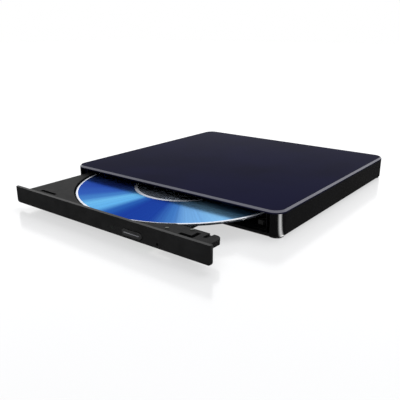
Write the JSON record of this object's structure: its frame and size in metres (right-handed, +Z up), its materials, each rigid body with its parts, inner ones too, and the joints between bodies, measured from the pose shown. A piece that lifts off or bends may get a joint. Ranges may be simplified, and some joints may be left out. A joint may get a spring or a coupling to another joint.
{
  "type": "external optical drive",
  "caption": "Slim external USB optical drive with a sliding disc tray drawn partly out, a clamped disc on its spindle, an eject button and a moving pickup.",
  "frame": {"origin": "on the desk under the middle of the whole object with the tray drawn out 46 mm", "axes": "+X to the right seen from the front, the front faces -Y, +Z up"},
  "size_m": [0.144, 0.1864, 0.014],
  "materials": {
    "glossy_black_plastic": "high gloss, navy black",
    "black_plastic": "satin gloss",
    "matte_tray_plastic": "fine matte grain",
    "rubber": "matte",
    "foam": "open foam, taken as plastic",
    "steel": "turned steel",
    "sheet_steel": "zinc plated sheet",
    "plated_steel": "nickel plated",
    "circuit_board": "green solder mask",
    "chip": "moulded epoxy",
    "black_nylon": "moulded nylon",
    "black_acetal": "moulded acetal",
    "white_acetal": "moulded acetal",
    "clear_plastic": "clear moulded",
    "copper": "enamelled winding",
    "bronze": "sintered bronze",
    "die_cast_zinc": "die cast",
    "magnet": "sintered",
    "lens_glass": "coated glass",
    "polycarbonate": "clear disc with a blue data layer",
    "flat_cable": "flat flexible cable"
  },
  "bodies": {
    "case": {"top_cover": "glossy_black_plastic", "bottom_case": "black_plastic", "rubber_feet": "rubber", "case_screws": "steel", "foam_pads": "foam", "usb_bridge_board": "circuit_board", "bridge_chip": "chip", "bridge_passives": "chip", "usb_socket": "plated_steel", "usb_tongue": "black_nylon", "bridge_plug": "black_nylon", "drive_chassis": "sheet_steel", "drive_lid": "sheet_steel", "left_guide": "black_acetal", "right_guide": "black_acetal", "main_board": "circuit_board", "main_chips": "chip", "ribbon_connector": "white_acetal", "drive_connector": "black_nylon", "ribbon_cable": "flat_cable"},
    "left_rail": {"left_rail": "black_acetal"},
    "right_rail": {"right_rail": "black_acetal"},
    "tray": {"tray": "matte_tray_plastic", "tray_bezel": "black_plastic", "light_pipe": "clear_plastic", "tray_board": "circuit_board", "eject_switch": "black_nylon", "status_light": "clear_plastic", "bottom_shield": "sheet_steel", "shield_screws": "steel", "latch_pin": "steel", "latch_coil": "copper", "latch_yoke": "steel", "traverse_plate": "sheet_steel", "dampers": "rubber", "traverse_screws": "steel", "main_rod": "steel", "side_rod": "steel", "sled_motor": "plated_steel", "motor_base": "sheet_steel", "spindle_bearing": "bronze", "stator": "copper"},
    "eject_button": {"eject_button": "black_plastic"},
    "latch_lever": {"latch_lever": "white_acetal"},
    "eject_plunger": {"eject_plunger": "white_acetal"},
    "lead_screw": {"lead_screw": "steel"},
    "pickup": {"pickup_sled": "die_cast_zinc", "sled_nut": "white_acetal", "focus_magnets": "magnet"},
    "lens": {"lens_holder": "black_nylon", "objective_lens": "lens_glass"},
    "spindle": {"rotor": "plated_steel", "magnet_ring": "magnet", "spindle_shaft": "steel", "spindle_hub": "black_nylon", "turntable_mat": "rubber", "disc": "polycarbonate"},
    "claw_1": {"clamp_claw_1": "black_nylon"},
    "claw_2": {"clamp_claw_2": "black_nylon"},
    "claw_3": {"clamp_claw_3": "black_nylon"}
  },
  "joints": [
    {"name": "tray_slide", "type": "slide", "parent": "case", "child": "tray", "axis": [0, -1, 0], "range_m": [-0.046, 0.0815]},
    {"name": "left_rail_slide", "type": "slide", "parent": "case", "child": "left_rail", "axis": [0, -1, 0], "range_m": [-0.023, 0.04075]},
    {"name": "right_rail_slide", "type": "slide", "parent": "case", "child": "right_rail", "axis": [0, -1, 0], "range_m": [-0.023, 0.04075]},
    {"name": "eject_button_press", "type": "slide", "parent": "tray", "child": "eject_button", "axis": [0, 1, 0], "range_m": [0, 0.0008], "stiffness_N_per_m": 600, "springref_m": -0.0003},
    {"name": "latch_release", "type": "hinge", "parent": "tray", "child": "latch_lever", "pos_m": [0.028, -0.076, 0.0045], "axis": [0, 0, 1], "range_deg": [0, 11], "stiffness_Nm_per_rad": 0.004, "springref_deg": -5.73},
    {"name": "plunger_push", "type": "slide", "parent": "tray", "child": "eject_plunger", "axis": [0, -1, 0], "range_m": [0, 0.003], "stiffness_N_per_m": 400, "springref_m": -0.001},
    {"name": "pickup_travel", "type": "slide", "parent": "tray", "child": "pickup", "axis": [-0.7071, 0.7071, 0], "range_m": [0, 0.0305]},
    {"name": "lead_screw_turn", "type": "hinge", "parent": "tray", "child": "lead_screw", "pos_m": [-0.00665, 0.00718, 0.005], "axis": [-0.7071, 0.7071, 0], "range_deg": [-10, 3800]},
    {"name": "lens_focus", "type": "slide", "parent": "pickup", "child": "lens", "axis": [0, 0, 1], "range_m": [-0.0003, 0.0003], "stiffness_N_per_m": 60},
    {"name": "disc_spin", "type": "hinge", "parent": "tray", "child": "spindle", "pos_m": [0, -0.0286, 0.007], "axis": [0, 0, 1], "continuous": true},
    {"name": "claw_1_press", "type": "slide", "parent": "spindle", "child": "claw_1", "axis": [-0.7071, -0.7071, 0], "range_m": [0, 0.0007], "stiffness_N_per_m": 500, "springref_m": -0.0004},
    {"name": "claw_2_press", "type": "slide", "parent": "spindle", "child": "claw_2", "axis": [0.9659, -0.2588, 0], "range_m": [0, 0.0007], "stiffness_N_per_m": 500, "springref_m": -0.0004},
    {"name": "claw_3_press", "type": "slide", "parent": "spindle", "child": "claw_3", "axis": [-0.2588, 0.9659, 0], "range_m": [0, 0.0007], "stiffness_N_per_m": 500, "springref_m": -0.0004}
  ],
  "couplings": [
    {"joint": "left_rail_slide", "follows": "tray_slide", "ratio": 0.5},
    {"joint": "right_rail_slide", "follows": "tray_slide", "ratio": 0.5},
    {"joint": "lead_screw_turn", "follows": "pickup_travel", "rad_per_m": 2094.4}
  ]
}
